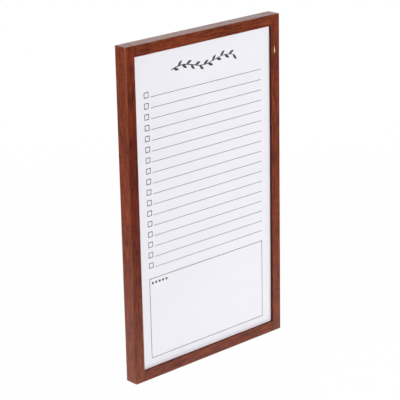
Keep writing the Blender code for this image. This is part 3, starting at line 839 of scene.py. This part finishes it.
def shown_rays(tree):
    """One for what the camera sees, straight, mirrored or through glass, and zero for light on the board."""
    path = add(tree, "ShaderNodeLightPath")
    seen = add(tree, "ShaderNodeMath", {
        0: path.outputs["Is Camera Ray"], 1: path.outputs["Is Glossy Ray"],
    }, operation="MAXIMUM")
    shown = add(tree, "ShaderNodeMath", {
        0: seen.outputs[0], 1: path.outputs["Is Transmission Ray"],
    }, operation="MAXIMUM")
    return shown.outputs[0]


def pale_floor():
    """White painted boards: most of what the camera sees is a white glow, so that the floor reads white."""
    material, tree, shader = begin_material("pale_floor")
    shader.inputs["Base Color"].default_value = linear("#EDEDED")
    shader.inputs["Roughness"].default_value = 0.9
    shader.inputs["Specular IOR Level"].default_value = 0.0
    place = add(tree, "ShaderNodeTexCoord").outputs["Object"]
    away = add(tree, "ShaderNodeVectorMath", {0: place}, operation="LENGTH").outputs["Value"]
    whiter = add(tree, "ShaderNodeMapRange", {
        "Value": away, "From Min": 1.6, "From Max": 5.0, "To Min": 0.96, "To Max": 1.0,
    }, interpolation_type="SMOOTHSTEP")
    share = add(tree, "ShaderNodeMath", {
        0: shown_rays(tree), 1: whiter.outputs[0],
    }, operation="MULTIPLY")
    glow = add(tree, "ShaderNodeEmission", {"Color": (1, 1, 1, 1), "Strength": 1.0})
    mixed = add(tree, "ShaderNodeMixShader", {0: share.outputs[0], 1: shader.outputs[0], 2: glow.outputs[0]})
    tree.links.new(mixed.outputs[0], tree.nodes["Material Output"].inputs["Surface"])
    return material


def build_floor():
    """One wide square below the board: its corners lie half its size to each side."""
    half = FLOOR_SIZE / 2
    level = cad_low.z - FLOOR_DROP
    corners = [(-half, -half, level), (half, -half, level), (half, half, level), (-half, half, level)]
    mesh = bpy.data.meshes.new("floor")
    mesh.from_pydata(corners, [], [(0, 1, 2, 3)])
    mesh.materials.append(pale_floor())
    floor = bpy.data.objects.new("floor", mesh)
    bpy.context.scene.collection.objects.link(floor)


def light_world(strength):
    """White for what the camera and reflections see, and a dimmer even light on the board."""
    world = bpy.data.worlds.new("studio")
    bpy.context.scene.world = world
    world.use_nodes = True
    tree = world.node_tree
    tree.nodes.clear()
    ambient = add(tree, "ShaderNodeBackground", {"Color": (1, 1, 1, 1), "Strength": strength})
    white = add(tree, "ShaderNodeBackground", {"Color": (1, 1, 1, 1), "Strength": 1.0})
    mixed = add(tree, "ShaderNodeMixShader", {
        0: shown_rays(tree), 1: ambient.outputs[0], 2: white.outputs[0],
    })
    add(tree, "ShaderNodeOutputWorld", {"Surface": mixed.outputs[0]})


def add_lamp(name, place, across, upright, watts, card=False):
    """A soft oblong lamp that faces the middle of the board, or a pale card that only shows in its gloss."""
    data = bpy.data.lights.new(name, "AREA")
    data.shape = "RECTANGLE"
    data.size, data.size_y = across, upright
    data.energy = watts
    lamp = bpy.data.objects.new(name, data)
    lamp.location = place
    lamp.rotation_euler = (Vector((0, 0, middle)) - Vector(place)).to_track_quat("-Z", "Y").to_euler()
    lamp.visible_camera = False
    lamp.visible_diffuse = not card
    lamp.visible_glossy = card
    bpy.context.scene.collection.objects.link(lamp)


build_floor()
light_world(AMBIENT_STRENGTH)
add_lamp("key_from_front", (0.65, -2.70, 0.45), 1.4, 1.4, 62.5)
add_lamp("side_from_left", (-2.6, 0.5, 0.8), 1.4, 1.4, 70.0)
add_lamp("card_low_in_front", (0.80, -0.98, -1.38), 0.80, 0.30, 6.0, card=True)
add_lamp("card_low_at_right", (1.25, -0.95, -1.22), 0.30, 0.45, 2.6, card=True)
add_lamp("card_low_at_left", (-0.98, 0.95, -1.16), 0.40, 0.50, 3.4, card=True)
add_lamp("fill_from_right", (2.6, 0.9, 0.2), 1.4, 1.4, 45.0)
add_lamp("glow_from_behind", (-0.6, 2.8, 0.5), 1.6, 1.6, 28.5)
add_lamp("sheen_on_top", (1.3, 1.5, 0.75), 1.2, 1.2, 6.0, card=True)


# Camera: a long lens that looks down on the board from its left, as in the photograph. The angles, the
# distance and the small roll come from the vanishing lines of the frame's edges.

VIEW_AZIMUTH = math.radians(-42.18)
VIEW_ELEVATION = math.radians(18.76)
VIEW_ROLL = math.radians(-1.17)
VIEW_DISTANCE = 2.937
VIEW_AIM = Vector((-0.0201, -0.0300, -0.2968))
FOCAL_LENGTH = 149.5
SENSOR_WIDTH = 36.0

camera_data = bpy.data.cameras.new("camera")
camera_data.lens = FOCAL_LENGTH
camera_data.sensor_width = SENSOR_WIDTH
camera = bpy.data.objects.new("camera", camera_data)
back = Vector((
    math.sin(VIEW_AZIMUTH) * math.cos(VIEW_ELEVATION),
    -math.cos(VIEW_AZIMUTH) * math.cos(VIEW_ELEVATION),
    math.sin(VIEW_ELEVATION),
))
turn = (-back).to_track_quat("-Z", "Y").to_matrix().to_4x4() @ Matrix.Rotation(VIEW_ROLL, 4, "Z")
camera.matrix_world = Matrix.Translation(VIEW_AIM + back * VIEW_DISTANCE) @ turn
bpy.context.scene.collection.objects.link(camera)
bpy.context.scene.camera = camera
bpy.context.scene.view_settings.view_transform = "Standard"
